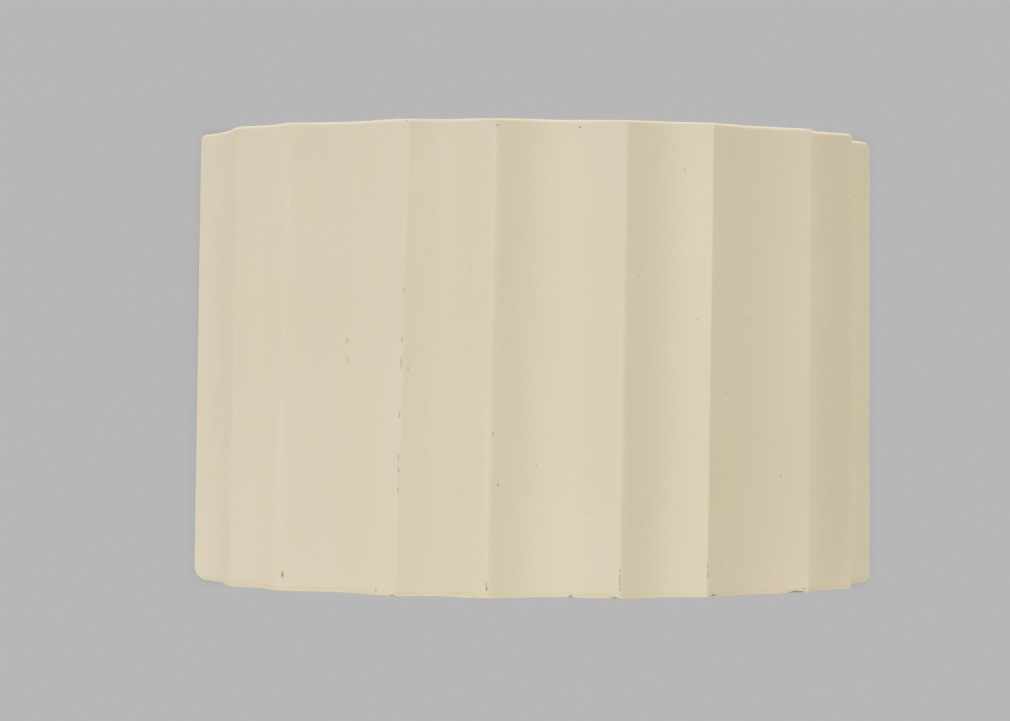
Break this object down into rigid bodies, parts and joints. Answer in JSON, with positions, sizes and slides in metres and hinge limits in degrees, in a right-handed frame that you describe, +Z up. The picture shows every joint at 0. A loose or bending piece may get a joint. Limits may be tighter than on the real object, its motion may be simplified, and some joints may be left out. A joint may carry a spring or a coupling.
{
  "type": "wall light",
  "caption": "Half-round wall light: a fluted plaster shade, open above and below, hangs on a steel wall plate that carries round lamps in screw holders.",
  "frame": {"origin": "centre of the cable entry, midway between the two wall screws, on the back of the wall plate", "axes": "+Z up, +Y into the wall, +X to the right as seen from the room"},
  "size_m": [0.34, 0.1472, 0.222],
  "materials": {
    "plaster": "cast plaster, ivory, dry and matt with small pits",
    "zinc_steel": "bright zinc plate",
    "white_steel": "white powder coat",
    "brass": "plain turned brass",
    "black_rubber": "moulded rubber",
    "block_nylon": "natural nylon",
    "tinned_copper": "tin plate",
    "earth_sleeve": "green and yellow sleeve",
    "holder_plastic": "heat-proof moulded plastic, off-white",
    "porcelain": "glazed white porcelain",
    "lead_sleeve": "white silicone sleeve",
    "solder": "solder",
    "black_glass": "black glass insulator",
    "lamp_cap_metal": "rolled thread, satin",
    "opal_glass": "opal white glass"
  },
  "bodies": {
    "wall_fitting": {"wall_plate": "white_steel", "cable_bush": "black_rubber", "plate_studs": "zinc_steel", "stud_washers": "zinc_steel", "stud_nuts": "zinc_steel", "terminal_block": "block_nylon", "terminal_sockets": "brass", "terminal_screws": "zinc_steel", "block_screws": "zinc_steel", "earth_tag": "tinned_copper", "nipple_nuts": "zinc_steel", "earth_lead": "earth_sleeve", "lamp_arm_left": "white_steel", "lamp_arm_right": "white_steel", "nipple_left": "zinc_steel", "nipple_right": "zinc_steel", "holder_dome_left": "holder_plastic", "holder_dome_right": "holder_plastic", "holder_core_left": "porcelain", "holder_core_right": "porcelain", "holder_skirt_left": "holder_plastic", "holder_skirt_right": "holder_plastic", "screw_shell_left": "brass", "screw_shell_right": "brass", "centre_contact_left": "brass", "centre_contact_right": "brass", "lamp_lead_left": "lead_sleeve", "lamp_lead_right": "lead_sleeve"},
    "shade": {"plaster_shade": "plaster", "shade_inserts": "brass", "back_strap": "zinc_steel", "strap_screws": "zinc_steel"},
    "lamp_left": {"lamp_tip_left": "solder", "lamp_insulator_left": "black_glass", "lamp_cap_left": "lamp_cap_metal", "lamp_globe_left": "opal_glass"},
    "lamp_right": {"lamp_tip_right": "solder", "lamp_insulator_right": "black_glass", "lamp_cap_right": "lamp_cap_metal", "lamp_globe_right": "opal_glass"}
  },
  "joints": [
    {"name": "shade_lift", "type": "slide", "parent": "wall_fitting", "child": "shade", "axis": [0, 0, 1], "range_m": [0, 0.24]},
    {"name": "lamp_left_out", "type": "slide", "parent": "wall_fitting", "child": "lamp_left", "axis": [0, 0, 1], "range_m": [0, 0.18]},
    {"name": "lamp_right_out", "type": "slide", "parent": "wall_fitting", "child": "lamp_right", "axis": [0, 0, 1], "range_m": [0, 0.18]}
  ]
}
